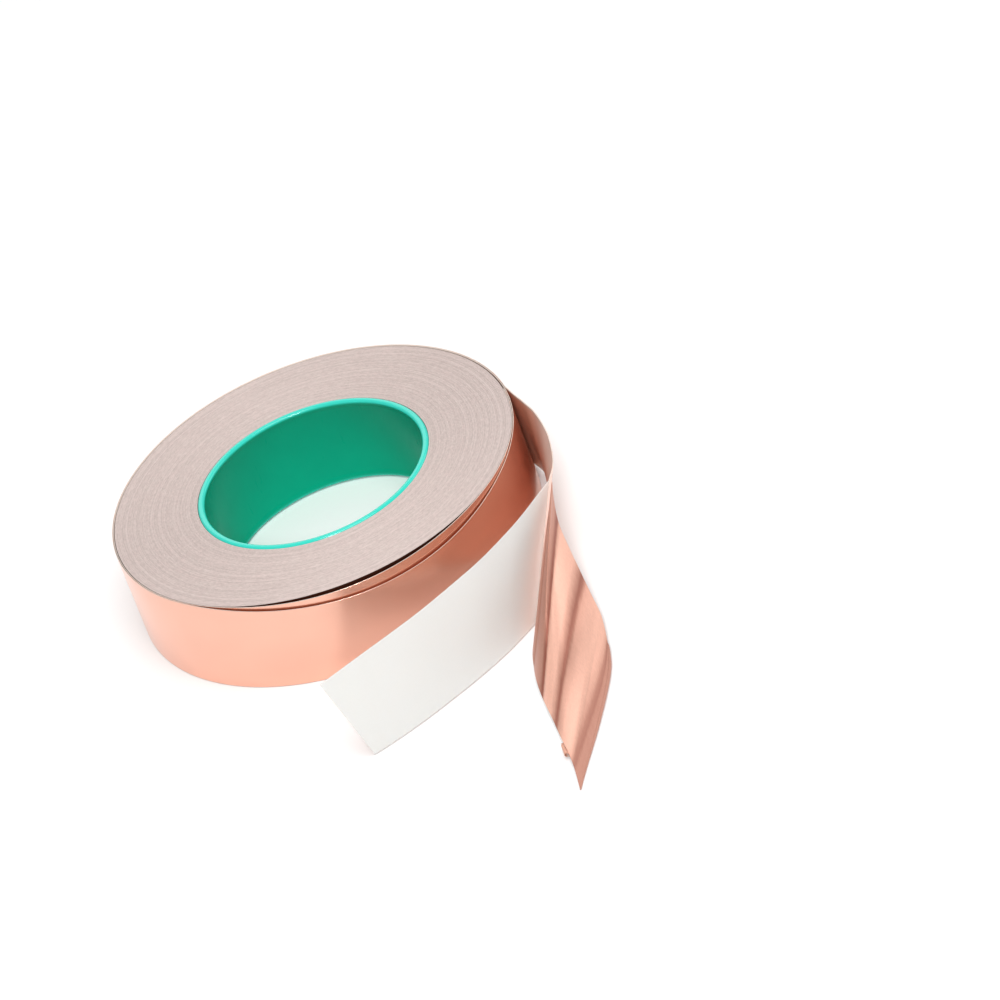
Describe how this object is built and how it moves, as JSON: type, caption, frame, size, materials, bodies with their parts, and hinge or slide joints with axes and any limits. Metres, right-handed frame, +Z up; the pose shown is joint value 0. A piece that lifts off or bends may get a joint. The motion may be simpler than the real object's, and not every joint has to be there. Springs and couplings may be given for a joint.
{
  "type": "copper foil tape roll",
  "caption": "Roll of copper foil tape on a green plastic core, outer turns slack, with its free end partly peeled off a white paper liner.",
  "frame": {"origin": "on the core's axis, in the plane that the flat roll rests on", "axes": "+Z up along the core's axis, +X towards the side where the free end leaves the roll, -Y towards the foil's loose tip"},
  "size_m": [0.1445, 0.2358, 0.0323],
  "materials": {
    "core": "glossy moulded green",
    "pack_edge": "fine ridged edges of wound foil and paper",
    "copper_foil": "satin bare copper",
    "bare_foil": "rippled copper, adhesive side, fine grained",
    "liner_paper": "smooth white siliconised paper"
  },
  "bodies": {
    "roll": {"core": "core", "wound_pack": "pack_edge"},
    "slack_turns": {"second_turn": "copper_foil", "outer_turn": "copper_foil"},
    "tail": {"tail_foil": "copper_foil", "tail_liner": "liner_paper"},
    "liner_end": {"liner_end": "liner_paper"},
    "foil_end": {"foil_end": "bare_foil"}
  },
  "joints": [
    {"name": "slack_turns_slip", "type": "hinge", "parent": "roll", "child": "slack_turns", "pos_m": [0, 0, 0], "axis": [0, 0, 1], "range_deg": [-6, 6]},
    {"name": "tail_flex", "type": "hinge", "parent": "slack_turns", "child": "tail", "pos_m": [0.0683, 0.0067, 0.016], "axis": [0, 0, 1], "range_deg": [0, 20]},
    {"name": "liner_flex", "type": "hinge", "parent": "tail", "child": "liner_end", "pos_m": [0.06015, -0.06635, 0.01565], "axis": [0.4409, 0.6032, 0.6646], "range_deg": [-8, 15]},
    {"name": "foil_flex", "type": "hinge", "parent": "tail", "child": "foil_end", "pos_m": [0.06015, -0.06635, 0.01565], "axis": [-0.4409, -0.6032, -0.6646], "range_deg": [0, 28]}
  ]
}
